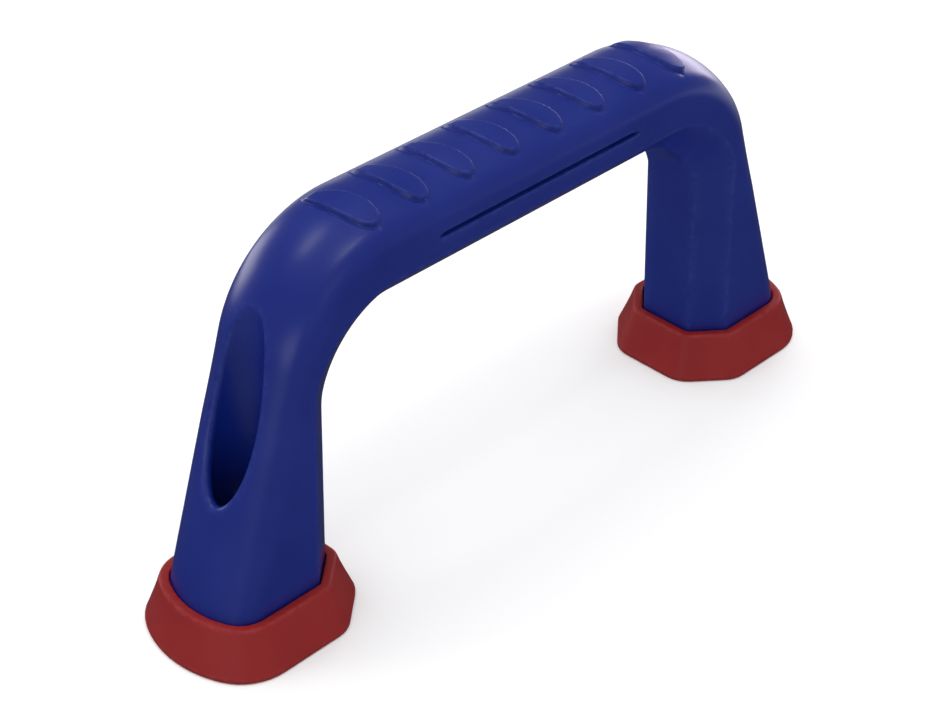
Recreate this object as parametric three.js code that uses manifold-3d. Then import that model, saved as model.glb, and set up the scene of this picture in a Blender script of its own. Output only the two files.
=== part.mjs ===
// Grab handle for a kiteboard. A U-shaped moulded handle stands in two soft feet, and one
// pan-head M6 screw with a captive washer goes down through each leg and foot into the board.
// The screws are drawn loosened, with their tips just inside the feet.
//
// Millimetres. +X runs along the grip, +Y across it and +Z up. The origin lies midway
// between the feet, on the plane they stand on. A profile is drawn in the XZ plane.

import * as THREE from "three";
import { mergeVertices } from "three/addons/utils/BufferGeometryUtils.js";
import Module from "manifold-3d";

const wasm = await Module();
wasm.setup();

// ---------------------------------------------------------------- driving sizes

const CLEARANCE = 0.3; // gap between two pieces that meet

const HOLE_SPACING = 170; // between the two screws

const BODY_WIDTH = 30; // across the grip and the legs
const EDGE_CHAMFER = 7; // along both edges that the palm and fingers meet
const CROWN_RADIUS = 24.2; // of the outer face, seen along the handle
const CROWN_CORNER = 7.5; // radius where the outer face turns into the sides

const GRIP_UNDERSIDE = 79; // height of the face the fingers close round
const GRIP_DEPTH = 24; // from that face up to the crown's ridge
const LEG_INSET = 17.2; // from a screw to the leg's inner face, at the foot's rim
const LEG_OUTSET = 17.8; // from a screw to the leg's outer ridge, at the foot's rim
const INNER_DRAFT = 1.1; // degrees the inner face leans towards the middle
const OUTER_LEAN = 17.8; // degrees the outer ridge leans towards the middle
const INNER_BEND = 24.6; // radius under the corner of the grip
const OUTER_BEND = 38.5; // radius over the corner of the grip

const SLOT_LENGTH = 69;
const SLOT_WIDTH = 1.2;
const SLOT_DEPTH = 2.5;
const SLOT_DROP = 11.1; // below the crown's ridge

const PAD_COUNT = 8; // raised grip pads along the crown
const PAD_PITCH = 15;
const PAD_REACH = 10.5; // half of a pad's length across the grip
const PAD_BULGE = 7; // how far its long edges bow out
const PAD_SWEEP = 3.5; // how far each end leans off square
const PAD_RELIEF = 1; // height above the crown

const RIM_HEIGHT = 12.8; // top of a foot
const RIM_WIDTH = 2.4; // flat lip round the leg
const FOOT_FLARE = 7; // how far the sole spreads past the leg at the rim
const FOOT_FLOOR = 4; // rubber between the leg and the board
const SOLE_BAND = 1.5; // upright edge round the sole
const SOLE_EDGE = 0.4; // rounding under that edge
const FOOT_CORNER = 5.5; // radius of the sole's corners on the inner side

const LEG_BASE = 10; // plastic under the screw's washer
const POCKET_ROOM = 1.1; // between the pocket's wall and the washer or the screw's head

const SCREW_DIAMETER = 6;
const SCREW_LENGTH = 25; // under the head
const SCREW_TIP_CHAMFER = 0.8;
const HEAD_DIAMETER = 12;
const HEAD_HEIGHT = 4.6;
const HEAD_EDGE = 1.6; // upright part of the head's edge
const RECESS_SPAN = 6.8; // cross recess, point to point
const RECESS_WIDTH = 1.2;
const RECESS_DEPTH = 3;
const TIP_SHELTER = 1; // how far the loosened screw's tip stays above the board

const WASHER_DIAMETER = 12;
const WASHER_THICKNESS = 1.6;

const BEND_STEPS = 14;
const CROWN_STEPS = 10;
const CORNER_STEPS = 4;
const ROUND_STEPS = 40;
const SOFT_CORNER_STEPS = 3;

// ---------------------------------------------------------------- derived places

const rad = THREE.MathUtils.degToRad;
const gripTop = GRIP_UNDERSIDE + GRIP_DEPTH;
const screwX = HOLE_SPACING / 2;
const screwHole = SCREW_DIAMETER + 2 * CLEARANCE;
const pocketDiameter = Math.max(WASHER_DIAMETER, HEAD_DIAMETER) + 2 * POCKET_ROOM;
const legBottom = FOOT_FLOOR + CLEARANCE;
const seat = legBottom + LEG_BASE;
const washerBottom = TIP_SHELTER + SCREW_LENGTH - CLEARANCE - WASHER_THICKNESS;
const cutReach = 2 * gripTop; // longer than anything it cuts through

const innerX = (z) => screwX - LEG_INSET - (z - RIM_HEIGHT) * Math.tan(rad(INNER_DRAFT));
const outerX = (z) => screwX + LEG_OUTSET - (z - RIM_HEIGHT) * Math.tan(rad(OUTER_LEAN));

const bendBase = GRIP_UNDERSIDE - INNER_BEND;
const innerBend = new THREE.Vector2(innerX(bendBase) - INNER_BEND, bendBase);
const outerBend = outerBendCentre();

function outerBendCentre() {
  const z = gripTop - OUTER_BEND;
  const x = outerX(z) - OUTER_BEND / Math.cos(rad(OUTER_LEAN));
  return new THREE.Vector2(x, z);
}

// Distance from the inner bend's centre to the outer ridge, along a ray at an angle above +X.
function ridgeDistance(angle) {
  const ray = new THREE.Vector2(Math.cos(angle), Math.sin(angle));
  const lean = Math.tan(rad(OUTER_LEAN));
  const straight = (outerX(innerBend.y) - innerBend.x) / (ray.x + ray.y * lean);
  const bendStart = outerBend.y + OUTER_BEND * Math.sin(rad(OUTER_LEAN));
  if (innerBend.y + straight * ray.y <= bendStart) return straight;
  if (innerBend.x + ray.x * (gripTop - innerBend.y) / ray.y <= outerBend.x) {
    return (gripTop - innerBend.y) / ray.y;
  }
  const offset = innerBend.clone().sub(outerBend);
  const along = offset.dot(ray);
  return Math.sqrt(along * along - offset.lengthSq() + OUTER_BEND * OUTER_BEND) - along;
}

// ---------------------------------------------------------------- solids and outlines

function solid(geometry) {
  const bare = geometry.clone();
  bare.deleteAttribute("normal");
  bare.deleteAttribute("uv");
  const merged = mergeVertices(bare, 1e-4);
  const vertProperties = new Float32Array(merged.attributes.position.array);
  const triVerts = new Uint32Array(merged.index.array);
  return new wasm.Manifold(new wasm.Mesh({ numProp: 3, vertProperties, triVerts }));
}

function geometryOf(manifold) {
  const mesh = manifold.getMesh();
  const geometry = new THREE.BufferGeometry();
  geometry.setAttribute("position", new THREE.BufferAttribute(mesh.vertProperties, 3));
  geometry.setIndex(new THREE.BufferAttribute(mesh.triVerts, 1));
  geometry.computeVertexNormals();
  return geometry;
}

// A closed skin over sections. Each has an outline, anticlockwise in its own plane and of as
// many points as the others, and a place function that puts a point of that plane in space.
function skin(sections) {
  const count = sections[0].outline.length;
  const points = sections.flatMap(({ outline, place }) => outline.map(place));
  const index = [];
  for (let ring = 0; ring + 1 < sections.length; ring += 1) {
    for (let i = 0; i < count; i += 1) {
      const a = ring * count + i;
      const b = ring * count + ((i + 1) % count);
      index.push(a, b, b + count, a, b + count, a + count);
    }
  }
  const last = (sections.length - 1) * count;
  for (const [a, b, c] of THREE.ShapeUtils.triangulateShape(sections[0].outline, [])) {
    index.push(a, c, b);
  }
  for (const [a, b, c] of THREE.ShapeUtils.triangulateShape(sections.at(-1).outline, [])) {
    index.push(last + a, last + b, last + c);
  }
  const geometry = new THREE.BufferGeometry().setFromPoints(points);
  geometry.setIndex(index);
  return solid(geometry);
}

function arcPoints(x, y, radius, from, to, steps) {
  const at = (step) => THREE.MathUtils.lerp(from, to, step / steps);
  return Array.from({ length: steps + 1 }, (_, step) => new THREE.Vector2(
    x + radius * Math.cos(at(step)),
    y + radius * Math.sin(at(step)),
  ));
}

// A corner of an outline, turned by 45 degrees and rounded where a radius is given.
function turnedCorner(x, y, heading, radius) {
  if (radius === 0) return [new THREE.Vector2(x, y)];
  const run = radius * Math.tan(Math.PI / 8);
  const cx = x - run * Math.cos(heading) - radius * Math.sin(heading);
  const cy = y - run * Math.sin(heading) + radius * Math.cos(heading);
  const from = heading - Math.PI / 2;
  return arcPoints(cx, cy, radius, from, from + Math.PI / 4, SOFT_CORNER_STEPS);
}

// The handle's section, from its inner face at 0 to the ridge of its crown at depth.
function handleOutline({ depth, chamfer = EDGE_CHAMFER, grow = 0, corner = 0 }) {
  const half = BODY_WIDTH / 2 + grow;
  const crown = CROWN_RADIUS + grow;
  const round = CROWN_CORNER + grow;
  const wide = half - (EDGE_CHAMFER + (2 - Math.SQRT2) * grow);
  const deep = chamfer + (1 - Math.SQRT2) * grow;
  const turn = Math.asin((half - round) / (crown - round));
  const crownCentre = depth + grow - crown;
  const cornerCentre = crownCentre + (crown - round) * Math.cos(turn);
  const side = half - round;
  return [
    ...turnedCorner(-grow, -wide, -Math.PI / 2, corner),
    ...turnedCorner(deep, -half, -Math.PI / 4, corner),
    ...arcPoints(cornerCentre, -side, round, -Math.PI / 2, -turn, CORNER_STEPS).slice(0, -1),
    ...arcPoints(crownCentre, 0, crown, -turn, turn, CROWN_STEPS),
    ...arcPoints(cornerCentre, side, round, turn, Math.PI / 2, CORNER_STEPS).slice(1),
    ...turnedCorner(deep, half, Math.PI, corner),
    ...turnedCorner(-grow, wide, -3 * Math.PI / 4, corner),
  ];
}

// A level cut through a leg, on the side where x is positive.
function legSection(z, options = {}) {
  const inner = innerX(z);
  return {
    outline: handleOutline({ depth: outerX(z) - inner, ...options }),
    place: (p) => new THREE.Vector3(inner + p.x, p.y, z),
  };
}

// A cut through the bend, along a ray from the inner bend's centre.
function bendSection(angle, grow) {
  const spread = Math.cos(angle) + Math.sin(angle);
  return {
    outline: handleOutline({
      depth: ridgeDistance(angle) - INNER_BEND,
      chamfer: EDGE_CHAMFER * spread,
      grow,
    }),
    place: (p) => new THREE.Vector3(
      innerBend.x + (INNER_BEND + p.x) * Math.cos(angle),
      p.y,
      innerBend.y + (INNER_BEND + p.x) * Math.sin(angle),
    ),
  };
}

const mirrored = ({ outline, place }) => ({
  outline,
  place: (p) => place(p).multiply(new THREE.Vector3(-1, 1, 1)),
});

function handleForm(grow) {
  const half = [legSection(legBottom, { grow })];
  for (let step = 0; step <= BEND_STEPS; step += 1) {
    half.push(bendSection((step / BEND_STEPS) * (Math.PI / 2), grow));
  }
  return skin([...half, ...half.map(mirrored).reverse()]);
}

function roundBar(diameter, bottom, top) {
  const bar = new THREE.CylinderGeometry(diameter / 2, diameter / 2, top - bottom, ROUND_STEPS);
  bar.rotateX(Math.PI / 2);
  bar.translate(0, 0, (bottom + top) / 2);
  return bar;
}

// ---------------------------------------------------------------- handle body

function gripSlot(side) {
  const half = (SLOT_LENGTH - SLOT_WIDTH) / 2;
  const outline = new THREE.Shape();
  outline.absarc(half, 0, SLOT_WIDTH / 2, -Math.PI / 2, Math.PI / 2);
  outline.absarc(-half, 0, SLOT_WIDTH / 2, Math.PI / 2, 3 * Math.PI / 2);
  const slot = new THREE.ExtrudeGeometry(outline, {
    depth: 2 * SLOT_DEPTH,
    bevelEnabled: false,
    curveSegments: 4,
  });
  slot.translate(0, 0, -SLOT_DEPTH);
  slot.rotateX(Math.PI / 2);
  slot.translate(0, side * BODY_WIDTH / 2, gripTop - SLOT_DROP);
  return solid(slot);
}

// The plan outline of one raised pad: a leaf that leans across the crown.
function padOutline(x) {
  const near = x - PAD_SWEEP;
  const far = x + PAD_SWEEP;
  const outline = new THREE.Shape();
  outline.moveTo(near, -PAD_REACH);
  outline.bezierCurveTo(near + PAD_BULGE, -PAD_REACH, far + PAD_BULGE, 0, far, PAD_REACH);
  outline.bezierCurveTo(far - PAD_BULGE, PAD_REACH, near - PAD_BULGE, 0, near, -PAD_REACH);
  return outline;
}

function gripPads() {
  const crown = handleForm(PAD_RELIEF);
  const first = -(PAD_COUNT - 1) / 2;
  let pads = null;
  for (let number = 0; number < PAD_COUNT; number += 1) {
    const block = new THREE.ExtrudeGeometry(padOutline((first + number) * PAD_PITCH), {
      depth: CROWN_RADIUS,
      bevelEnabled: false,
      curveSegments: 6,
    });
    block.translate(0, 0, gripTop - GRIP_DEPTH / 2);
    const pad = solid(block).intersect(crown);
    pads = pads ? pads.add(pad) : pad;
  }
  return pads;
}

function handleBody() {
  let body = handleForm(0).add(gripPads());
  for (const side of [-1, 1]) {
    const pocket = roundBar(pocketDiameter, seat, cutReach);
    const hole = roundBar(screwHole, -cutReach, cutReach);
    pocket.translate(side * screwX, 0, 0);
    hole.translate(side * screwX, 0, 0);
    body = body.subtract(solid(pocket)).subtract(solid(hole)).subtract(gripSlot(side));
  }
  return geometryOf(body);
}

// ---------------------------------------------------------------- feet

function footLayer(z, grow) {
  const atRim = legSection(RIM_HEIGHT, { grow: grow + CLEARANCE, corner: FOOT_CORNER });
  return { outline: atRim.outline, place: (p) => atRim.place(p).setZ(z) };
}

function foot() {
  const sole = FOOT_FLARE - CLEARANCE;
  const shell = skin([
    footLayer(0, sole - SOLE_EDGE),
    footLayer(SOLE_EDGE, sole),
    footLayer(SOLE_BAND, sole),
    footLayer(RIM_HEIGHT - SOLE_EDGE, RIM_WIDTH + SOLE_EDGE / 2),
    footLayer(RIM_HEIGHT, RIM_WIDTH - SOLE_EDGE / 2),
  ]);
  const socket = skin([
    legSection(FOOT_FLOOR, { grow: CLEARANCE }),
    legSection(RIM_HEIGHT + FOOT_FLOOR, { grow: CLEARANCE }),
  ]);
  const hole = roundBar(screwHole, -cutReach, cutReach);
  hole.translate(screwX, 0, 0);
  const body = geometryOf(shell.subtract(socket).subtract(solid(hole)));
  body.translate(-screwX, 0, 0);
  return body;
}

// ---------------------------------------------------------------- fasteners

// A pan-head screw, its shank's tip at 0 and the head at the top.
function screw() {
  const shank = SCREW_DIAMETER / 2;
  const head = HEAD_DIAMETER / 2;
  const domeRise = HEAD_HEIGHT - HEAD_EDGE;
  const domeFlat = head / 2;
  const profile = new THREE.Path();
  profile.moveTo(0, 0);
  profile.lineTo(shank - SCREW_TIP_CHAMFER, 0);
  profile.lineTo(shank, SCREW_TIP_CHAMFER);
  profile.lineTo(shank, SCREW_LENGTH);
  profile.lineTo(head, SCREW_LENGTH);
  profile.lineTo(head, SCREW_LENGTH + HEAD_EDGE);
  profile.quadraticCurveTo(
    head, SCREW_LENGTH + HEAD_EDGE + domeRise, domeFlat, SCREW_LENGTH + HEAD_HEIGHT,
  );
  profile.lineTo(0, SCREW_LENGTH + HEAD_HEIGHT);
  const turned = new THREE.LatheGeometry(profile.getPoints(6), ROUND_STEPS);
  turned.rotateX(Math.PI / 2);
  let body = solid(turned);
  for (const [long, wide] of [[RECESS_SPAN, RECESS_WIDTH], [RECESS_WIDTH, RECESS_SPAN]]) {
    const blade = new THREE.BoxGeometry(long, wide, 2 * RECESS_DEPTH);
    blade.translate(0, 0, SCREW_LENGTH + HEAD_HEIGHT);
    body = body.subtract(solid(blade));
  }
  return geometryOf(body);
}

function washer() {
  const hole = screwHole / 2;
  const rim = WASHER_DIAMETER / 2;
  const corners = [[hole, 0], [rim, 0], [rim, WASHER_THICKNESS], [hole, WASHER_THICKNESS]];
  const profile = [...corners, corners[0]].map(([x, y]) => new THREE.Vector2(x, y));
  const ring = new THREE.LatheGeometry(profile, ROUND_STEPS);
  ring.rotateX(Math.PI / 2);
  return geometryOf(solid(ring));
}

// ---------------------------------------------------------------- assembly

const plastic = new THREE.MeshStandardMaterial({ color: 0x202c78, roughness: 0.42 });
const rubber = new THREE.MeshStandardMaterial({ color: 0x7d2526, roughness: 0.62 });
const steel = new THREE.MeshStandardMaterial({ color: 0xb4b6b8, roughness: 0.3, metalness: 1 });

function named(name, geometry, material) {
  const mesh = new THREE.Mesh(geometry, material.clone());
  mesh.name = name;
  return mesh;
}

// One end of the handle: a foot with its screw and washer. The group stands on the screw's axis.
function footSet(name, side) {
  const set = new THREE.Group();
  set.position.x = side * screwX;
  const boot = named(`${name}_foot`, foot(), rubber);
  if (side < 0) boot.rotation.z = Math.PI;
  const bolt = named(`${name}_screw`, screw(), steel);
  bolt.position.z = TIP_SHELTER;
  const ring = named(`${name}_washer`, washer(), steel);
  ring.position.z = washerBottom;
  set.add(boot, bolt, ring);
  return set;
}

const handle = new THREE.Group();
handle.add(named("handle_body", handleBody(), plastic));
handle.add(footSet("left", -1));
handle.add(footSet("right", 1));

export default handle;
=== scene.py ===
"""A kiteboard's grab handle: a moulded U-shaped body in two soft feet, with a screw and a
captive washer in the pocket of each leg. Sizes are in millimetres, in the CAD part's frame."""

import math

import bmesh
import bpy
from mathutils import Matrix, Vector
from mathutils.bvhtree import BVHTree


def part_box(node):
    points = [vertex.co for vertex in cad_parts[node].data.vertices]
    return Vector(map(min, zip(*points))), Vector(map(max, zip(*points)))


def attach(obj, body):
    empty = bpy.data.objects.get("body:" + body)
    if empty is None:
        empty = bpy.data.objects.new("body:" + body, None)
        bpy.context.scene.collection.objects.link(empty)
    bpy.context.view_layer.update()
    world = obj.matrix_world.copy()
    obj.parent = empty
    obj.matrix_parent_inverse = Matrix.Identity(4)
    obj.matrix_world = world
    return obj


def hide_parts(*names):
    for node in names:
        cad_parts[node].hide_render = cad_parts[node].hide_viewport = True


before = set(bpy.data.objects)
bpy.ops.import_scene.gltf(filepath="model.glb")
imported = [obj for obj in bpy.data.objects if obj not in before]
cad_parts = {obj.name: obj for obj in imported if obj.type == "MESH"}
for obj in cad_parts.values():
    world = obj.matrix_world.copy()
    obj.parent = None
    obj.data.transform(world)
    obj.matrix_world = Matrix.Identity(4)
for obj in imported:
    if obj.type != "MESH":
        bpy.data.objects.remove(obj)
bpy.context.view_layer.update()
MM = 0.001

# ------------------------------------------------------------------ places from the frame


def middle(node):
    low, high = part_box(node)
    return (low + high) / 2 / MM


def lowest(node):
    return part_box(node)[0].z / MM


def highest(node):
    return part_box(node)[1].z / MM


SCREW_X = middle("right_screw").x
LEG_FOOT_Z = lowest("handle_body")
RIM_Z = highest("right_foot")
PAD_CAD_HEIGHT = 1.0  # how far the CAD part's pads stand over its crown
CROWN_TOP = highest("handle_body") - PAD_CAD_HEIGHT

# ------------------------------------------------------------------ sizes

HALF_WIDTH = 15.0
INNER_HALF = 8.0
UNDERSIDE_Z = 79.0
FLANK_Z = 86.1
CROWN_RADIUS = 24.2
CORNER_RADIUS = 7.5
EDGE_ROUND = 1.1

# the point that the bend's sections turn about, and its arcs: middle x, middle z, radius
HUB = (42.4, 54.4)
INNER_ARC = (39.8, 52.6, 27.4)
FLANK_ARC = (46.0, 56.8, 29.8)
OUTER_BEND = 38.5
OUTER_LEAN = math.radians(17.8)
OUTER_AT_RIM = 102.8
KINK_BLEND = 0.5

# the leg's inner face and its flank's edge: distance from the middle, at a height, and draft
INNER_X, INNER_AT_Z, INNER_DRAFT = 67.5, 15.0, 0.023
FLANK_X, FLANK_AT_Z, FLANK_DRAFT = 75.3, 27.0, 0.0333

# spacing of the sections: up the leg, then round the bend (coarse, then fine), then the grip
LEG_STEP = 1.5
BEND_COARSE, BEND_FINE, BEND_CHANGE = 1.4, 0.33, 58
GRIP_STEP = 0.28

POCKET_RADIUS = 7.1
POCKET_FLOOR = 14.3
POCKET_LIP = 1.5
HOLE_RADIUS = 3.3

# a pocket opens in the sections above this height and further out than this
POCKET_ABOVE, POCKET_BEYOND = 27, 71.5

# loops over the skin, round the lip, and down the wall to this height
SKIN_STEPS, LIP_STEPS, WALL_STEPS, WALL_Z = 6, 8, 8, 30

SLOT_HALF = 34.5
SLOT_DROP = 11.2
SLOT_TAPER = 2.6

# height above the slot's middle and depth of each row across it
SLOT_ROWS = [(-1.05, 0.0), (-0.8, 0.05), (-0.64, 0.3), (-0.58, 2.1), (-0.35, 2.5),
             (0.35, 2.5), (0.58, 2.1), (0.64, 0.3), (0.8, 0.05), (1.05, 0.0)]

# where those rows lie, as shares of the way from the flank's edge to the crown's corner
SLOT_SHARES = [0.49, 0.53, 0.56, 0.58, 0.62, 0.71, 0.75, 0.77, 0.8, 0.84]
SLOT_FIRST = 17  # points of the section before the slot's rows
CROWN_STEPS = 34

SHARP_RADIUS = 1.2  # an edge this tight counts as fully sharp
PAD_COUNT = 8
PAD_PITCH = 15.0
PAD_REACH = 10.5
PAD_BULGE = 7.5
PAD_SWEEP = 2.2
PAD_STEPS = 28
PAD_RELIEF = 0.9
PAD_GROOVE = 0.45
PAD_EDGE = 0.34
PAD_FADE = 4.0

# strength of the surroundings as light, and as seen in reflections
SURROUNDINGS = 0.75
SURROUNDINGS_MIRRORED = 0.18

# in metres: how far the lights are from the point they face, and its height
LIGHT_DISTANCE = 1.2
LIGHT_AIM = 0.06

# ------------------------------------------------------------------ camera and new objects


def make_camera():
    data = bpy.data.cameras.new("camera")
    data.sensor_width = 36.0
    data.lens = 86.0021459
    data.clip_start, data.clip_end = 0.05, 20.0
    camera = bpy.data.objects.new("camera", data)
    bpy.context.scene.collection.objects.link(camera)
    azimuth, elevation = math.radians(-45.0), math.radians(35.325)
    back = Vector((math.sin(azimuth) * math.cos(elevation),
                   -math.cos(azimuth) * math.cos(elevation), math.sin(elevation)))
    camera.location = Vector((-336.07, -324.80, 363.72)) * MM
    camera.rotation_mode = "QUATERNION"
    camera.rotation_quaternion = (-back).to_track_quat("-Z", "Y")
    bpy.context.scene.camera = camera


def mark_edges(bm):
    """Writes how sharply the surface turns outwards at each vertex, for the rubbed edges."""
    bm.normal_update()
    layer = bm.verts.layers.float.new("edge")
    for v in bm.verts:
        turn = 0.0
        for e in v.link_edges:
            side = v.co - e.other_vert(v).co
            turn = max(turn, (v.normal - e.other_vert(v).normal).dot(side)
                       / max(side.length_squared, 1e-12))
        v[layer] = max(0.0, min(1.0, turn * SHARP_RADIUS * MM))


def new_object(name, bm):
    mark_edges(bm)
    mesh = bpy.data.meshes.new(name)
    bm.to_mesh(mesh)
    bm.free()
    made = bpy.data.objects.new(name, mesh)
    bpy.context.scene.collection.objects.link(made)
    return made


# ------------------------------------------------------------------ grid surfaces


def mapped_grid(columns, rows, place):
    """A grid whose vertex (i, j) goes to place(i, j), in millimetres; equal places are not
    merged here. Returns the bmesh and its vertices by (i, j)."""
    bm = bmesh.new()
    bmesh.ops.create_grid(bm, x_segments=columns, y_segments=rows, size=1.0)
    by_index = {}
    for v in bm.verts:
        i = round((v.co.x + 1) / 2 * columns)
        j = round((v.co.y + 1) / 2 * rows)
        v.co = Vector(place(i, j)) * MM
        by_index[i, j] = v
    return bm, by_index


def close_seams(bm):
    bmesh.ops.remove_doubles(bm, verts=bm.verts, dist=1e-7)
    bmesh.ops.recalc_face_normals(bm, faces=bm.faces)


def smooth_all(bm):
    for face in bm.faces:
        face.smooth = True


# ------------------------------------------------------------------ handle body's section


def soft_min(values):
    """The least of the values, with their meeting corners eased."""
    least = values[0]
    for value in values[1:]:
        h = max(KINK_BLEND - abs(least - value), 0.0) / KINK_BLEND
        least = min(least, value) - h * h * KINK_BLEND / 4
    return least


def arc_reach(arc, angle):
    """From the hub along a ray at an angle above +X, the way to an arc round the hub."""
    ox, oz = HUB[0] - arc[0], HUB[1] - arc[1]
    along = ox * math.cos(angle) + oz * math.sin(angle)
    return math.sqrt(along * along - ox * ox - oz * oz + arc[2] ** 2) - along


def leg_inner(z):
    return INNER_X - (z - INNER_AT_Z) * INNER_DRAFT


def leg_flank(z):
    return FLANK_X - (z - FLANK_AT_Z) * FLANK_DRAFT


def leg_outer(z):
    return OUTER_AT_RIM - (z - RIM_Z) * math.tan(OUTER_LEAN)


def line_reach(at, slope, angle):
    """From the hub along a ray, the way to the leg's line x = at(z)."""
    return (at(HUB[1]) - HUB[0]) / (math.cos(angle) + slope * math.sin(angle))


def inner_reach(angle):
    reaches = [line_reach(leg_inner, INNER_DRAFT, angle), arc_reach(INNER_ARC, angle)]
    if angle > 0.1:
        reaches.append((UNDERSIDE_Z - HUB[1]) / math.sin(angle))
    return soft_min(reaches)


def flank_reach(angle):
    reaches = [line_reach(leg_flank, FLANK_DRAFT, angle), arc_reach(FLANK_ARC, angle)]
    if angle > 0.1:
        reaches.append((FLANK_Z - HUB[1]) / math.sin(angle))
    return soft_min(reaches)


def outer_reach(angle):
    centre_z = CROWN_TOP - OUTER_BEND
    centre_x = leg_outer(centre_z) - OUTER_BEND / math.cos(OUTER_LEAN)
    straight = line_reach(leg_outer, math.tan(OUTER_LEAN), angle)
    if HUB[1] + straight * math.sin(angle) <= centre_z + OUTER_BEND * math.sin(OUTER_LEAN):
        return straight
    level = (CROWN_TOP - HUB[1]) / math.sin(angle)
    if HUB[0] + level * math.cos(angle) <= centre_x:
        return level
    return arc_reach((centre_x, centre_z, OUTER_BEND), angle)


def turned(corner, before, after, radius, steps):
    """Points and normals of a rounded corner of an outline that keeps its inside on the left."""
    before, after = before.normalized(), after.normalized()
    turn = before.angle_signed(after)
    run = radius * math.tan(abs(turn) / 2)
    start = corner - before * run
    out = Vector((-before.y, before.x))
    centre = start - out * radius
    made = []
    for step in range(steps + 1):
        normal = out.copy()
        normal.rotate(Matrix.Rotation(-turn * step / steps, 2))
        made.append((centre + normal * radius, normal))
    return made


def lerp_points(a, b, count):
    """count points evenly between a and b, neither included, with a's normal."""
    return [(a[0].lerp(b[0], k / (count + 1)), a[1]) for k in range(1, count + 1)]


def half_outline(depth, flank):
    """Half of the section, from the middle of the inner face at depth 0, over the side, to
    the crown's ridge at depth: (place, normal) pairs in (depth, across)."""
    inner = turned(Vector((0, INNER_HALF)), Vector((0, 1)),
                   Vector((flank, HALF_WIDTH - INNER_HALF)), EDGE_ROUND, 4)
    side = turned(Vector((flank, HALF_WIDTH)), Vector((flank, HALF_WIDTH - INNER_HALF)),
                  Vector((1, 0)), EDGE_ROUND, 4)
    turn = math.asin((HALF_WIDTH - CORNER_RADIUS) / (CROWN_RADIUS - CORNER_RADIUS))
    crown_at = depth - CROWN_RADIUS
    corner_at = crown_at + (CROWN_RADIUS - CORNER_RADIUS) * math.cos(turn)
    start, up = side[-1][0].x, Vector((0, 1))
    rows = [(Vector((start + (corner_at - start) * share, HALF_WIDTH)), up)
            for share in SLOT_SHARES]
    outline = [(Vector((0, 0)), Vector((-1, 0))), (Vector((0, INNER_HALF / 2)), Vector((-1, 0)))]
    outline += inner
    outline += lerp_points(inner[-1], side[0], 2)
    outline += side
    outline += lerp_points(side[-1], rows[0], 3)
    outline += rows
    for k in range(9):
        a = math.pi / 2 + (turn - math.pi / 2) * k / 8
        normal = Vector((math.cos(a), math.sin(a)))
        outline.append((Vector((corner_at, HALF_WIDTH - CORNER_RADIUS)) + normal * CORNER_RADIUS,
                        normal))
    for k in range(1, CROWN_STEPS + 1):
        a = turn * (1 - k / CROWN_STEPS)
        normal = Vector((math.cos(a), math.sin(a)))
        outline.append((Vector((crown_at, 0)) + normal * CROWN_RADIUS, normal))
    return outline


HALF_COUNT = len(half_outline(24.0, 7.1))


def whole_outline(depth, flank):
    """The whole section: out over +Y to the ridge, and back over -Y."""
    half = half_outline(depth, flank)
    back = [(Vector((p.x, -p.y)), Vector((n.x, -n.y))) for p, n in reversed(half[1:-1])]
    return half + back


def leg_outline(z):
    inner = leg_inner(z)
    return whole_outline(leg_outer(z) - inner, leg_flank(z) - inner)


# ------------------------------------------------------------------ handle body


def leg_ring(z):
    inner = leg_inner(z)
    return [(inner + p.x, p.y, z) for p, _ in leg_outline(z)]


def bend_ring(angle):
    reach = inner_reach(angle)
    outline = whole_outline(outer_reach(angle) - reach, flank_reach(angle) - reach)
    return [(HUB[0] + (reach + p.x) * math.cos(angle), p.y,
             HUB[1] + (reach + p.x) * math.sin(angle)) for p, _ in outline]


def grip_ring(x):
    outline = whole_outline(CROWN_TOP - UNDERSIDE_Z, FLANK_Z - UNDERSIDE_Z)
    return [(x, p.y, UNDERSIDE_Z + p.x) for p, _ in outline]


def spread(first, last, step):
    count = max(1, math.ceil(abs(last - first) / step))
    return [first + (last - first) * k / count for k in range(count)]


def half_rings():
    """The sections from the right leg's base up and over to the middle of the grip."""
    rings = [leg_ring(z) for z in spread(LEG_FOOT_Z, HUB[1], LEG_STEP)]
    rings += [bend_ring(math.radians(a)) for a in spread(0, BEND_CHANGE, BEND_COARSE)]
    rings += [bend_ring(math.radians(a)) for a in spread(BEND_CHANGE, 90, BEND_FINE)]
    rings += [grip_ring(x) for x in spread(HUB[0], 0, GRIP_STEP)]
    return rings + [grip_ring(0.0)]


def sink_slot(places):
    """Presses the grip's side slots into one section, in place."""
    x = places[0][0]
    end = SLOT_HALF - abs(x)
    if end <= 0:
        return places
    taper = min(1.0, end / SLOT_TAPER)
    depth = taper ** 0.7
    narrow = math.sqrt(1 - (1 - taper) ** 2)
    slot_z = CROWN_TOP - SLOT_DROP
    sunk = list(places)
    count = len(places)
    for k, (offset, sink) in enumerate(SLOT_ROWS):
        for index in (SLOT_FIRST + k, count - SLOT_FIRST - k):
            px, py, _ = places[index]
            y = math.copysign(abs(py) - sink * depth, py)
            sunk[index] = (px, y, slot_z + offset * (0.25 + 0.75 * narrow))
    return sunk


def bezier(a, b, c, d, steps):
    """Points along a cubic curve, without its last one."""
    made = []
    for k in range(steps):
        t = k / steps
        s = 1 - t
        made.append(a * s ** 3 + b * 3 * s * s * t + c * 3 * s * t * t + d * t ** 3)
    return made


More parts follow.
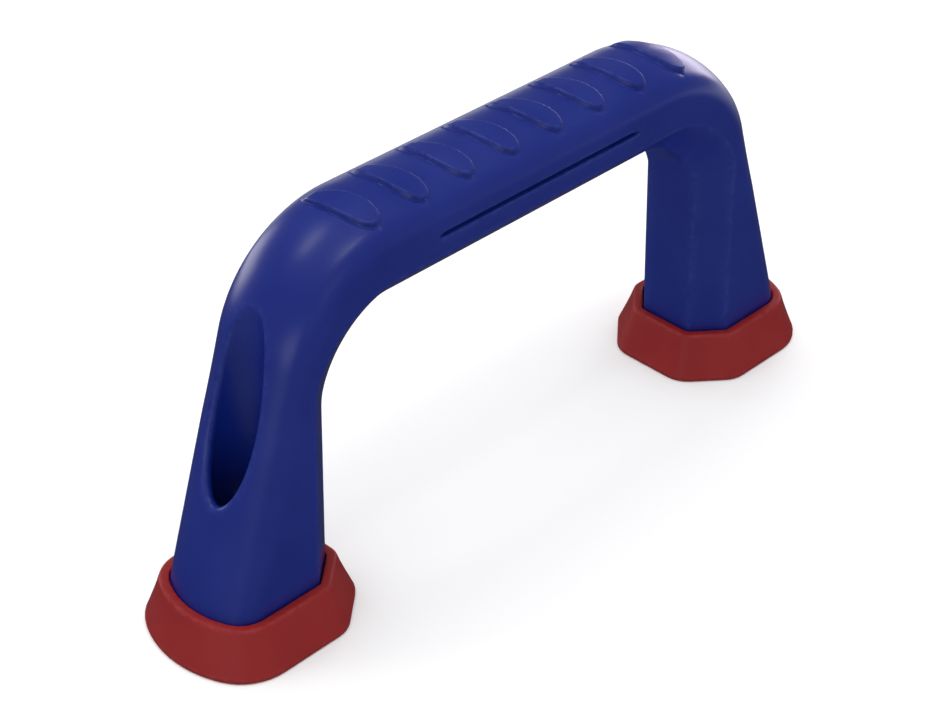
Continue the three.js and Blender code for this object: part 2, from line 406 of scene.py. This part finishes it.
def pad_outline(x):
    """A pad's right side and left side, as two lines of points."""
    near, far = x + PAD_SWEEP, x - PAD_SWEEP
    a, d = Vector((near, -PAD_REACH)), Vector((far, PAD_REACH))
    right = bezier(a, Vector((near + 5, -PAD_REACH)), Vector((far + PAD_BULGE, 2)), d,
                   PAD_STEPS)
    left = bezier(d, Vector((far - 1.5, 3)), Vector((near - 5, -PAD_REACH)), a,
                  PAD_STEPS)
    return right + [d], left + [a]


def way_to(point, line):
    """The least distance from a point to a line of points."""
    best = 1e9
    for a, b in zip(line, line[1:]):
        side = b - a
        t = max(0.0, min(1.0, (point - a).dot(side) / side.length_squared))
        best = min(best, (point - a - side * t).length)
    return best


def is_inside(point, outline):
    inside = False
    for a, b in zip(outline, outline[1:] + outline[:1]):
        if (a.y > point.y) != (b.y > point.y):
            if point.x < a.x + (point.y - a.y) * (b.x - a.x) / (b.y - a.y):
                inside = not inside
    return inside


def eased(share):
    share = max(0.0, min(1.0, share))
    return share * share * (3 - 2 * share)


def pad_height(point, right, left):
    """A pad's share of its full height: a crisp edge with a fine groove outside its left side,
    sinking into the crown at the far end."""
    to_left, to_right = way_to(point, left), way_to(point, right)
    edge = min(to_left, to_right)
    if is_inside(point, right + left):
        share = eased(0.5 + edge / PAD_EDGE)
    else:
        share = eased(0.5 - edge / PAD_EDGE)
        if to_left < to_right:
            share -= PAD_GROOVE * eased(1 - abs(to_left / PAD_GROOVE - 1))
    return share * eased((PAD_REACH - point.y) / PAD_FADE)


def raise_pads(bm):
    """Lifts the grip pads out of the crown."""
    bm.normal_update()
    outlines = [(x, *pad_outline(x)) for x in
                (PAD_PITCH * (k - (PAD_COUNT - 1) / 2) for k in range(PAD_COUNT))]
    lifted = {}
    for v in bm.verts:
        at = Vector((v.co.x / MM, v.co.y / MM))
        if v.normal.z < 0.4 or abs(at.y) > PAD_REACH + 1:
            continue
        near = [o[1:] for o in outlines if abs(at.x - o[0]) < PAD_SWEEP + PAD_BULGE + 1]
        share = max((pad_height(at, *o) for o in near), default=0.0, key=abs)
        if share:
            lifted[v] = share
    for v, share in lifted.items():
        v.co += v.normal * (share * PAD_RELIEF * MM)


def rim_vertices(by_index, columns, rows):
    """The vertices round a block of the grid, in order."""
    (i0, i1), (j0, j1) = columns, rows
    path = [(i, j0) for i in range(i0, i1)] + [(i1, j) for j in range(j0, j1)]
    path += [(i, j1) for i in range(i1, i0, -1)] + [(i0, j) for j in range(j1, j0, -1)]
    return [by_index[key] for key in path]


def extrude_loop(bm, loop, places):
    """Extrudes a closed loop of vertices once, to new places in the same order."""
    ring = set(loop)
    edges = [e for v in loop for e in v.link_edges if e.is_boundary and e.other_vert(v) in ring]
    made = bmesh.ops.extrude_edge_only(bm, edges=list(set(edges)))["geom"]
    fresh = {g for g in made if isinstance(g, bmesh.types.BMVert)}
    new_loop = []
    for v, place in zip(loop, places):
        twin = next(e.other_vert(v) for e in v.link_edges if e.other_vert(v) in fresh)
        new_loop.append((twin, place))
    for twin, place in new_loop:
        twin.co = place
    return [twin for twin, _ in new_loop]


def lip_at(skin, side, turn):
    """The rounded lip's centre and its two ends, at an angle round the pocket."""
    out = Vector((side * math.cos(turn), math.sin(turn), 0))
    foot = Vector((side * SCREW_X, 0, 0)) * MM + out * (POCKET_RADIUS + POCKET_LIP) * MM
    high = skin.ray_cast(foot + Vector((0, 0, 0.2)), Vector((0, 0, -1)))[0].z
    low = high - 12 * MM
    for _ in range(18):
        half = (low + high) / 2
        gap = skin.find_nearest(Vector((foot.x, foot.y, half)))[3]
        low, high = (low, half) if gap < POCKET_LIP * MM else (half, high)
    centre = Vector((foot.x, foot.y, low))
    return centre, centre - out * POCKET_LIP * MM, skin.find_nearest(centre)[0]


def round_places(places, radius, z, side):
    """Where places go on a level circle round the screw's axis."""
    made = []
    for p in places:
        out = Vector((p.x - side * SCREW_X * MM, p.y, 0)).normalized()
        made.append(Vector((side * SCREW_X * MM, 0, z * MM)) + out * radius * MM)
    return made


def sink_pocket(bm, skin, by_index, columns, rows, side):
    """Opens a screw pocket in the crown: lip, bore, floor and screw hole."""
    rim = rim_vertices(by_index, columns, rows)
    block = {by_index[i, j] for i in range(columns[0], columns[1] + 1)
             for j in range(rows[0], rows[1] + 1)}
    faces = [f for f in bm.faces if all(v in block for v in f.verts)]
    bmesh.ops.delete(bm, geom=faces, context="FACES")
    start = [v.co.copy() for v in rim]
    turns = [math.atan2(p.y, side * (p.x - side * SCREW_X * MM)) for p in start]
    lips = [lip_at(skin, side, turn) for turn in turns]
    loop = rim
    for k in range(1, SKIN_STEPS):
        share = k / SKIN_STEPS
        places = [skin.find_nearest(p.lerp(lip[2], share))[0] for p, lip in zip(start, lips)]
        loop = extrude_loop(bm, loop, places)
    for k in range(LIP_STEPS + 1):
        places = []
        share = k / LIP_STEPS
        for centre, bore_end, skin_end in lips:
            a, b = skin_end - centre, bore_end - centre
            places.append(centre + a.normalized().slerp(b.normalized(), share) * POCKET_LIP * MM)
        loop = extrude_loop(bm, loop, places)
    wall = [v.co.copy() for v in loop]
    for k in range(1, WALL_STEPS + 1):
        places = []
        for p in wall:
            z = p.z + (WALL_Z * MM - p.z) * (k / WALL_STEPS)
            places.append(Vector((p.x, p.y, z)))
        loop = extrude_loop(bm, loop, places)
    for radius, z in [(POCKET_RADIUS, 20), (POCKET_RADIUS, POCKET_FLOOR + 0.8),
                      (6.98, POCKET_FLOOR + 0.4),
                      (6.7, POCKET_FLOOR + 0.12), (6.3, POCKET_FLOOR), (4.5, POCKET_FLOOR),
                      (3.6, POCKET_FLOOR), (HOLE_RADIUS, POCKET_FLOOR - 0.3), (HOLE_RADIUS, 10),
                      (HOLE_RADIUS, LEG_FOOT_Z)]:
        loop = extrude_loop(bm, loop, round_places(wall, radius, z, side))
    return loop


def build_handle():
    half = half_rings()
    rings = [[(-x, y, z) for x, y, z in ring] for ring in half]
    rings += list(reversed(half[:-1]))
    rings = [sink_slot(ring) for ring in rings]
    around = len(rings[0])
    bm, by_index = mapped_grid(around, len(rings) - 1, lambda i, j: rings[j][i % around])
    last = len(rings) - 1
    ridge = HALF_COUNT - 1
    columns = (ridge - CROWN_STEPS - 3, ridge + CROWN_STEPS + 3)
    base_loops = []
    skin = BVHTree.FromBMesh(bm)
    raise_pads(bm)
    first, final = pocket_rows(rings[:len(half)], ridge)
    for side, rows in ((-1, (first, final)), (1, (last - final, last - first))):
        base_loops.append(sink_pocket(bm, skin, by_index, columns, rows, side))
    bmesh.ops.remove_doubles(bm, verts=[by_index[i, j] for i in (0, around)
                                        for j in range(last + 1)], dist=1e-7)
    for hole in base_loops:
        edge = [e for e in bm.edges if e.is_boundary
                and all((v.co.x > 0) == (hole[0].co.x > 0) for v in e.verts)]
        bmesh.ops.triangle_fill(bm, edges=edge, use_beauty=True)
    bmesh.ops.recalc_face_normals(bm, faces=bm.faces)
    smooth_all(bm)
    body = new_object("moulded_handle", bm)
    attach(body, "handle")
    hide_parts("handle_body")
    return body


def pocket_rows(rings, ridge):
    """The first and last section of the block that a pocket opens in."""
    low = next(j for j, ring in enumerate(rings) if ring[ridge][2] > POCKET_ABOVE)
    high = next(j for j, ring in enumerate(rings) if abs(ring[ridge][0]) < POCKET_BEYOND)
    return low, high


# ------------------------------------------------------------------ feet

FOOT_GAP = 0.3
# how far each ring stands off the leg, and its height, from the sole over the rim to the well
FOOT_RINGS = [
    (6.2, 0.0), (6.55, 0.03), (6.83, 0.14), (6.97, 0.32), (7.0, 0.5), (7.0, 1.0), (7.0, 1.35),
    (6.95, 1.5), (6.86, 1.66), (6.4, 2.8), (5.6, 4.8), (4.7, 7.1), (3.8, 9.5), (3.12, 11.6),
    (2.98, 12.0), (2.84, 12.35), (2.62, 12.62), (2.32, 12.77), (2.0, 12.8), (1.2, 12.8),
    (0.75, 12.8), (0.5, 12.72), (0.36, 12.58), (FOOT_GAP, 12.35), (FOOT_GAP, 11.0),
    (FOOT_GAP, 7.5), (FOOT_GAP, 4.5), (0.2, 4.1), (-0.1, 4.0),
]


def foot_rings():
    """A foot's rings on the right side, from the sole's hole over the outside and back in."""
    outline = leg_outline(RIM_Z)
    inner = leg_inner(RIM_Z)
    cut = [(Vector((inner + p.x, p.y)), n) for p, n in outline]
    centre = Vector((SCREW_X, 0))

    def off(grow, z):
        return [(*(p + n * grow), z) for p, n in cut]

    def hole(radius, z):
        return [(*(centre + (p - centre).normalized() * radius), z) for p, _ in cut]

    def between(a, b, share):
        return [tuple(Vector(p).lerp(Vector(q), share)) for p, q in zip(a, b)]

    sole, floor = off(*FOOT_RINGS[0]), off(*FOOT_RINGS[-1])
    eye, well = hole(HOLE_RADIUS + 0.3, 0.0), hole(HOLE_RADIUS, 4.0)
    rings = [hole(HOLE_RADIUS, 0.3), eye, between(eye, sole, 0.3), between(eye, sole, 0.7)]
    rings += [off(grow, z) for grow, z in FOOT_RINGS]
    rings += [between(floor, well, 0.4), between(floor, well, 0.8), well]
    return rings + [rings[0]]


def build_foot(side, name):
    rings = foot_rings()
    around = len(rings[0])

    def place(i, j):
        x, y, z = rings[j][i % around]
        return (side * x, side * y, z)

    bm, _ = mapped_grid(around, len(rings) - 1, place)
    close_seams(bm)
    smooth_all(bm)
    foot = new_object(f"{name}_rubber_foot", bm)
    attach(foot, "handle")
    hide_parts(f"{name}_foot")
    return foot


# ------------------------------------------------------------------ screws and washers

SHANK_RADIUS = 3.0
THREAD_PITCH = 1.0
THREAD_DEPTH = 0.55
HEAD_RADIUS = 6.0
HEAD_RISE = 4.6
SCREW_LENGTH = 25.0
PLAIN_LENGTH = 3.0  # of the shank under the head
PLAIN_RADIUS = SHANK_RADIUS - 0.02
LEAD_LENGTH = 1.2  # over which the thread grows at the tip

# shares of the way from a thread's root to its crest: flat root, then sloping flank
THREAD_ROOT, THREAD_FLANK = 0.12, 0.7
RECESS_HALF = 3.4
RECESS_HALF_WIDTH = 0.6
RECESS_DEPTH = 3.0
QUADRANT = [0, 2.5, 5, 7.5, 9.5, 11, 13, 16, 20, 25, 31, 38, 45]


def column_angles():
    half = QUADRANT + [90 - a for a in reversed(QUADRANT[1:-1])]
    return [math.radians(a + 90 * q) for q in range(4) for a in half]


def cross_radius(angle, half_span, half_width):
    """Polar outline of the cross recess."""
    a = abs((angle + math.pi / 4) % (math.pi / 2) - math.pi / 4)
    tip = half_span / math.cos(a)
    wing = half_width / max(math.sin(a), 1e-6)
    return min(tip, wing)


def dome_z(radius):
    """Height of the head's surface over its underside."""
    flat, edge = 2.6, 1.6  # radius of the flat top, height of the upright side
    if radius <= flat:
        return HEAD_RISE
    share = min(1.0, (radius - flat) / (HEAD_RADIUS - flat))
    return edge + (HEAD_RISE - edge) * math.sqrt(max(0.0, 1 - share ** 2.4))


def thread_radius(z, angle):
    """The shank's surface with its helical thread."""
    phase = (z / THREAD_PITCH - angle / (2 * math.pi)) % 1.0
    ridge = 1 - abs(2 * phase - 1)
    crest = max(0.0, min(1.0, (ridge - THREAD_ROOT) / THREAD_FLANK))
    run_in = max(0.0, min(1.0, (z - 0.1) / LEAD_LENGTH))
    run_out = max(0.0, min(1.0, SCREW_LENGTH - PLAIN_LENGTH - z))
    if z > SCREW_LENGTH - PLAIN_LENGTH:
        return PLAIN_RADIUS
    root = SHANK_RADIUS - THREAD_DEPTH
    full = root + THREAD_DEPTH * crest
    lead = root - 0.15 + (full - root + 0.15) * run_in
    return lead + (PLAIN_RADIUS - lead) * (1 - run_out)


def screw_rows():
    """One function of the angle for each row, giving (radius, height) over the tip."""
    rows = [lambda a: (0.0, 0.0), lambda a: (1.6, 0.0), lambda a: (2.1, 0.0)]
    steps = int((SCREW_LENGTH - 2.6) / (THREAD_PITCH / 10))
    for k in range(steps + 1):
        z = 0.1 + (SCREW_LENGTH - 2.7) * k / steps
        rows.append(lambda a, z=z: (thread_radius(z, a), z))
    head = SCREW_LENGTH
    for r, z in [(2.98, head - 0.45), (3.05, head - 0.2), (3.25, head - 0.04), (3.6, head),
                 (4.6, head), (5.6, head), (5.85, head + 0.07), (5.97, head + 0.2),
                 (6.0, head + 0.4), (6.0, head + 1.0), (6.0, head + 1.5)]:
        rows.append(lambda a, r=r, z=z: (r, z))
    for share in (0.999, 0.99, 0.975, 0.95, 0.91, 0.86, 0.8, 0.73):
        r = HEAD_RADIUS * share
        rows.append(lambda a, r=r: (r, head + dome_z(r)))
    rims = [(0.8, 0.0), (0.55, 0.0), (0.3, 0.0), (0.16, 0.0), (0.06, 0.04), (0.0, 0.16)]
    outer = HEAD_RADIUS * 0.73
    for share in (0.25, 0.5, 0.75):
        rows.append(lambda a, s=share: ring_to_cross(a, outer, s, rims[2][0]))
    for grow, drop in rims[2:]:
        rows.append(lambda a, g=grow, d=drop: recess_rim(a, g, d))
    for share in (0.25, 0.5, 0.75, 1.0):
        rows.append(lambda a, s=share: recess_wall(a, s))
    rows.append(lambda a: (0.35, head + HEAD_RISE - RECESS_DEPTH - 0.1))
    rows.append(lambda a: (0.0, head + HEAD_RISE - RECESS_DEPTH - 0.35))
    return rows


def ring_to_cross(angle, outer, share, grow):
    inner = cross_radius(angle, RECESS_HALF, RECESS_HALF_WIDTH) + grow
    r = outer + (inner - outer) * share
    return r, SCREW_LENGTH + dome_z(r)


def recess_rim(angle, grow, drop):
    r = cross_radius(angle, RECESS_HALF, RECESS_HALF_WIDTH) + grow
    return r, SCREW_LENGTH + dome_z(r) - drop


def recess_wall(angle, share):
    top = cross_radius(angle, RECESS_HALF, RECESS_HALF_WIDTH)
    low = cross_radius(angle, RECESS_HALF * 0.5, RECESS_HALF_WIDTH * 0.75)
    r = top + (low - top) * share
    start = SCREW_LENGTH + dome_z(top) - 0.16
    floor = SCREW_LENGTH + HEAD_RISE - RECESS_DEPTH
    return r, start + (floor - start) * share


def build_screw(side, name):
    angles = column_angles()
    rows = screw_rows()
    around = len(angles)
    tip = lowest(f"{name}_screw")

    def place(i, j):
        a = angles[i % around]
        r, z = rows[j](a)
        return (side * SCREW_X + r * math.cos(a), r * math.sin(a), tip + z)

    bm, _ = mapped_grid(around, len(rows) - 1, place)
    close_seams(bm)
    smooth_all(bm)
    screw = new_object(f"{name}_pan_screw", bm)
    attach(screw, f"{name}_screw")
    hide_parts(f"{name}_screw")
    return screw


# radius and height of each ring round the washer's section
WASHER_RINGS = [
    (3.3, 0.25), (3.33, 0.12), (3.42, 0.03), (3.55, 0.0), (4.6, 0.0), (5.7, 0.0), (5.86, 0.04),
    (5.97, 0.14), (6.0, 0.3), (6.0, 0.9), (6.0, 1.2), (5.95, 1.42), (5.82, 1.55), (5.6, 1.6),
    (4.6, 1.6), (3.6, 1.6), (3.42, 1.56), (3.33, 1.47), (3.3, 1.3),
]


def build_washer(side, name):
    base = lowest(f"{name}_washer")
    around = 96

    def place(i, j):
        r, z = WASHER_RINGS[j % len(WASHER_RINGS)]
        a = 2 * math.pi * (i % around) / around
        return (side * SCREW_X + r * math.cos(a), r * math.sin(a), base + z)

    bm, _ = mapped_grid(around, len(WASHER_RINGS), place)
    close_seams(bm)
    smooth_all(bm)
    washer = new_object(f"{name}_captive_washer", bm)
    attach(washer, f"{name}_washer")
    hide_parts(f"{name}_washer")
    return washer


# ------------------------------------------------------------------ materials


def float_socket(group, name, in_out, value=0.0):
    made = group.interface.new_socket(name, in_out=in_out, socket_type="NodeSocketFloat")
    if in_out == "INPUT":
        made.default_value = value


def remap(nodes, links, value, low, high, to_low=0.0, to_high=1.0):
    """A value stretched from one range to another, kept within it."""
    made = nodes.new("ShaderNodeMapRange")
    for name, number in (("From Min", low), ("From Max", high),
                         ("To Min", to_low), ("To Max", to_high)):
        made.inputs[name].default_value = number
    links.new(value, made.inputs["Value"])
    return made.outputs["Result"]


def make_moulded_finish():
    """What every moulded face shows: fine grain, slow shade changes, rubbed edges and dust."""
    group = bpy.data.node_groups.new("moulded_finish", "ShaderNodeTree")
    for name, value in (("Grain Scale", 3000.0), ("Mottle Scale", 60.0), ("Rub Scale", 700.0)):
        float_socket(group, name, "INPUT", value)
    for name in ("Grain", "Mottle", "Rub", "Dust"):
        float_socket(group, name, "OUTPUT")
    nodes, links = group.nodes, group.links
    given, result = nodes.new("NodeGroupInput"), nodes.new("NodeGroupOutput")
    place = nodes.new("ShaderNodeTexCoord")
    noises = {}
    for name, detail in (("Grain", 1.0), ("Mottle", 3.0), ("Rub", 3.0)):
        noise = nodes.new("ShaderNodeTexNoise")
        noise.inputs["Detail"].default_value = detail
        links.new(place.outputs["Object"], noise.inputs["Vector"])
        links.new(given.outputs[name + " Scale"], noise.inputs["Scale"])
        noises[name] = noise.outputs[0]
    edge = nodes.new("ShaderNodeAttribute")
    edge.attribute_name = "edge"
    worn = nodes.new("ShaderNodeMath")
    worn.operation = "MULTIPLY"
    links.new(remap(nodes, links, edge.outputs["Fac"], 0.25, 1.0), worn.inputs[0])
    links.new(remap(nodes, links, noises["Rub"], 0.4, 0.62), worn.inputs[1])
    facing = nodes.new("ShaderNodeSeparateXYZ")
    links.new(place.outputs["Normal"], facing.inputs["Vector"])
    settled = nodes.new("ShaderNodeMath")
    settled.operation = "MULTIPLY"
    links.new(remap(nodes, links, facing.outputs["Z"], 0.75, 1.0), settled.inputs[0])
    links.new(remap(nodes, links, noises["Mottle"], 0.45, 0.75), settled.inputs[1])
    links.new(remap(nodes, links, noises["Grain"], 0.3, 0.7), result.inputs["Grain"])
    links.new(remap(nodes, links, noises["Mottle"], 0.3, 0.7), result.inputs["Mottle"])
    links.new(worn.outputs["Value"], result.inputs["Rub"])
    links.new(settled.outputs["Value"], result.inputs["Dust"])
    return group


def make_turned_marks():
    """Fine rings round each screw's axis, by the distance from it and the height."""
    group = bpy.data.node_groups.new("turned_marks", "ShaderNodeTree")
    float_socket(group, "Axis X", "INPUT", SCREW_X)
    float_socket(group, "Ring Scale", "INPUT", 6000.0)
    float_socket(group, "Rings", "OUTPUT")
    nodes, links = group.nodes, group.links
    given, result = nodes.new("NodeGroupInput"), nodes.new("NodeGroupOutput")
    place, parts = nodes.new("ShaderNodeTexCoord"), nodes.new("ShaderNodeSeparateXYZ")
    links.new(place.outputs["Object"], parts.inputs["Vector"])

    def reckon(operation, first, second=None):
        made = nodes.new("ShaderNodeMath")
        made.operation = operation
        links.new(first, made.inputs[0])
        if second is not None:
            links.new(second, made.inputs[1])
        return made.outputs["Value"]

    off = reckon("SUBTRACT", reckon("ABSOLUTE", parts.outputs["X"]), given.outputs["Axis X"])
    off_squared = reckon("MULTIPLY", off, off)
    y_squared = reckon("MULTIPLY", parts.outputs["Y"], parts.outputs["Y"])
    radius = reckon("SQRT", reckon("ADD", off_squared, y_squared))
    line = nodes.new("ShaderNodeCombineXYZ")
    links.new(radius, line.inputs["X"])
    links.new(parts.outputs["Z"], line.inputs["Y"])
    noise = nodes.new("ShaderNodeTexNoise")
    noise.inputs["Detail"].default_value = 2.0
    links.new(line.outputs["Vector"], noise.inputs["Vector"])
    links.new(given.outputs["Ring Scale"], noise.inputs["Scale"])
    links.new(remap(nodes, links, noise.outputs[0], 0.3, 0.7), result.inputs["Rings"])
    return group


def principled(name, colour, roughness, metallic=0.0):
    material = bpy.data.materials.new(name)
    material.use_nodes = True
    shader = material.node_tree.nodes["Principled BSDF"]
    shader.inputs["Base Color"].default_value = (*colour, 1)
    shader.inputs["Roughness"].default_value = roughness
    shader.inputs["Metallic"].default_value = metallic
    return material, shader


def tinted(nodes, links, share, first, second):
    """A colour between two, by a share from 0 to 1. Either may be a socket."""
    mix = nodes.new("ShaderNodeMix")
    mix.data_type = "RGBA"
    sockets = [s for s in mix.inputs if s.type == "RGBA"]
    links.new(share, next(s for s in mix.inputs if s.name == "Factor" and s.type == "VALUE"))
    for socket, colour in zip(sockets, (first, second)):
        if isinstance(colour, tuple):
            socket.default_value = (*colour, 1)
        else:
            links.new(colour, socket)
    return next(s for s in mix.outputs if s.type == "RGBA")


def finished(name, colours, rubbed, dusty, roughness, grain, specular):
    """A moulded finish. colours: darkest and lightest; roughness: least and most; grain: scale,
    bump depth in mm and strength."""
    material, shader = principled(name, colours[0], roughness[0])
    shader.inputs["Specular IOR Level"].default_value = specular
    nodes, links = material.node_tree.nodes, material.node_tree.links
    finish = nodes.new("ShaderNodeGroup")
    finish.node_tree = MOULDED_FINISH
    finish.inputs["Grain Scale"].default_value = grain[0]
    shade = tinted(nodes, links, finish.outputs["Mottle"], *colours)
    rub = remap(nodes, links, finish.outputs["Rub"], 0, 1, 0, 0.35)
    dust = remap(nodes, links, finish.outputs["Dust"], 0, 1, 0, 0.01)
    shade = tinted(nodes, links, rub, shade, rubbed)
    links.new(tinted(nodes, links, dust, shade, dusty), shader.inputs["Base Color"])
    uneven = remap(nodes, links, finish.outputs["Mottle"], 0, 1, *roughness)
    rougher = remap(nodes, links, finish.outputs["Rub"], 0, 1, 0, 0.1)
    total = nodes.new("ShaderNodeMath")
    links.new(uneven, total.inputs[0])
    links.new(rougher, total.inputs[1])
    links.new(total.outputs["Value"], shader.inputs["Roughness"])
    bump = nodes.new("ShaderNodeBump")
    bump.inputs["Distance"].default_value = grain[1] * MM
    bump.inputs["Strength"].default_value = grain[2]
    links.new(finish.outputs["Grain"], bump.inputs["Height"])
    links.new(bump.outputs["Normal"], shader.inputs["Normal"])
    return material


def turned_steel():
    material, shader = principled("turned_steel", (0.6, 0.6, 0.61), 0.3, 1.0)
    nodes, links = material.node_tree.nodes, material.node_tree.links
    marks, finish = nodes.new("ShaderNodeGroup"), nodes.new("ShaderNodeGroup")
    marks.node_tree, finish.node_tree = TURNED_MARKS, MOULDED_FINISH
    shade = tinted(nodes, links, marks.outputs["Rings"], (0.53, 0.53, 0.54), (0.64, 0.64, 0.65))
    rub = remap(nodes, links, finish.outputs["Rub"], 0, 1, 0, 0.5)
    links.new(tinted(nodes, links, rub, shade, (0.8, 0.8, 0.8)), shader.inputs["Base Color"])
    links.new(remap(nodes, links, marks.outputs["Rings"], 0, 1, 0.24, 0.36),
              shader.inputs["Roughness"])
    bump = nodes.new("ShaderNodeBump")
    bump.inputs["Distance"].default_value = 0.01 * MM
    bump.inputs["Strength"].default_value = 0.5
    links.new(marks.outputs["Rings"], bump.inputs["Height"])
    links.new(bump.outputs["Normal"], shader.inputs["Normal"])
    return material


def stage_floor():
    bm = bmesh.new()
    bmesh.ops.create_grid(bm, x_segments=1, y_segments=1, size=6.0)
    floor = new_object("floor", bm)
    material, shader = principled("floor_pale_with_painted_reflection_shade", (0.9, 0.9, 0.9), 0.9)
    shader.inputs["Specular IOR Level"].default_value = 0.0
    nodes, links = material.node_tree.nodes, material.node_tree.links
    # Painted shade in reflections: the camera and diffuse rays see the floor evenly pale, but
    # glossy rays see it painted dark in front of the object, fading to pale behind it.
    path = nodes.new("ShaderNodeLightPath")
    place = nodes.new("ShaderNodeTexCoord")
    away = nodes.new("ShaderNodeVectorMath")
    away.operation = "DOT_PRODUCT"
    away.inputs[1].default_value = (0.87, 0.5, 0)
    links.new(place.outputs["Object"], away.inputs[0])
    far = nodes.new("ShaderNodeMapRange")
    far.inputs["From Min"].default_value = 0.2
    far.inputs["From Max"].default_value = 0.5
    far.inputs["To Min"].default_value = 0.05
    far.inputs["To Max"].default_value = 0.9
    links.new(away.outputs["Value"], far.inputs["Value"])
    floor_with_painted_reflection_shade = nodes.new("ShaderNodeMix")
    floor_with_painted_reflection_shade.inputs["A"].default_value = 0.9
    links.new(path.outputs["Is Glossy Ray"], floor_with_painted_reflection_shade.inputs["Factor"])
    links.new(far.outputs["Result"], floor_with_painted_reflection_shade.inputs["B"])
    links.new(floor_with_painted_reflection_shade.outputs["Result"], shader.inputs["Base Color"])
    floor.data.materials.append(material)


def soft_box(name, azimuth, elevation, size, power, colour=(1, 1, 1), glossy=True):
    """A light on a bearing from +X, facing the object. Its second side lies along X, or
    upright where the light is low."""
    data = bpy.data.lights.new(name, "AREA")
    data.shape = "RECTANGLE"
    data.size, data.size_y = size
    data.energy = power
    data.color = colour
    lamp = bpy.data.objects.new(name, data)
    a, e = math.radians(azimuth), math.radians(elevation)
    out = Vector((math.cos(a) * math.cos(e), math.sin(a) * math.cos(e), math.sin(e)))
    along = (Vector((1, 0, 0)) - out * out.x).normalized()
    if elevation < 30:
        along = (Vector((0, 0, 1)) - out * out.z).normalized()
    lamp.matrix_world = Matrix((along.cross(out), along, out)).transposed().to_4x4()
    lamp.location = out * LIGHT_DISTANCE + Vector((0, 0, LIGHT_AIM))
    lamp.visible_glossy = glossy
    bpy.context.scene.collection.objects.link(lamp)


def make_studio():
    """Soft boxes round the object. The surroundings show white to the camera, light the
    object less strongly, and look dimmest in reflections."""
    world = bpy.data.worlds.new("studio")
    world.use_nodes = True
    nodes, links = world.node_tree.nodes, world.node_tree.links
    path = nodes.new("ShaderNodeLightPath")
    dim = nodes.new("ShaderNodeMapRange")
    dim.inputs["To Min"].default_value = SURROUNDINGS
    dim.inputs["To Max"].default_value = SURROUNDINGS_MIRRORED
    links.new(path.outputs["Is Glossy Ray"], dim.inputs["Value"])
    strength = nodes.new("ShaderNodeMapRange")
    links.new(dim.outputs["Result"], strength.inputs["To Min"])
    strength.inputs["To Max"].default_value = 1.0
    links.new(path.outputs["Is Camera Ray"], strength.inputs["Value"])
    background = nodes["Background"]
    background.inputs["Color"].default_value = (1, 1, 1, 1)
    links.new(strength.outputs["Result"], background.inputs["Strength"])
    scene = bpy.context.scene
    scene.world = world
    scene.view_settings.view_transform = "Standard"
    soft_box("top_box", 100, 84, (1.5, 1.5), 11, glossy=False)
    soft_box("rear_left_box", 120, 62, (0.1, 0.4), 0.8)
    soft_box("front_box", 250, 76, (0.1, 0.4), 0.8)
    soft_box("front_glow", 250, 33, (0.5, 0.5), 0.2)
    soft_box("right_box", 10, 18, (0.35, 0.3), 0.6, (1, 0.9, 1))
    soft_box("left_front_box", 200, -1, (0.6, 0.8), 1.6)
    soft_box("back_box", 20, 4, (0.55, 0.35), 2.6, (1, 0.88, 1))
    soft_box("left_back_box", 96, 5, (0.55, 0.35), 2.0, (1, 0.95, 1))


make_camera()
body = build_handle()
feet = [build_foot(-1, "left"), build_foot(1, "right")]
screws = [build_screw(-1, "left"), build_screw(1, "right")]
washers = [build_washer(-1, "left"), build_washer(1, "right")]

MOULDED_FINISH = make_moulded_finish()
TURNED_MARKS = make_turned_marks()
plastic = finished("moulded_plastic", colours=((0.0031, 0.0122, 0.153), (0.0039, 0.0155, 0.173)),
                   rubbed=(0.012, 0.035, 0.25), dusty=(0.5, 0.48, 0.46),
                   roughness=(0.28, 0.305), grain=(4500, 0.01, 0.06), specular=0.5)
rubber = finished("soft_rubber", colours=((0.215, 0.0075, 0.009), (0.245, 0.0095, 0.0105)),
                  rubbed=(0.3, 0.035, 0.035), dusty=(0.5, 0.45, 0.42),
                  roughness=(0.42, 0.54), grain=(2200, 0.02, 0.3), specular=0.3)
steel = turned_steel()
body.data.materials.append(plastic)
for foot in feet:
    foot.data.materials.append(rubber)
for piece in screws + washers:
    piece.data.materials.append(steel)
stage_floor()
make_studio()
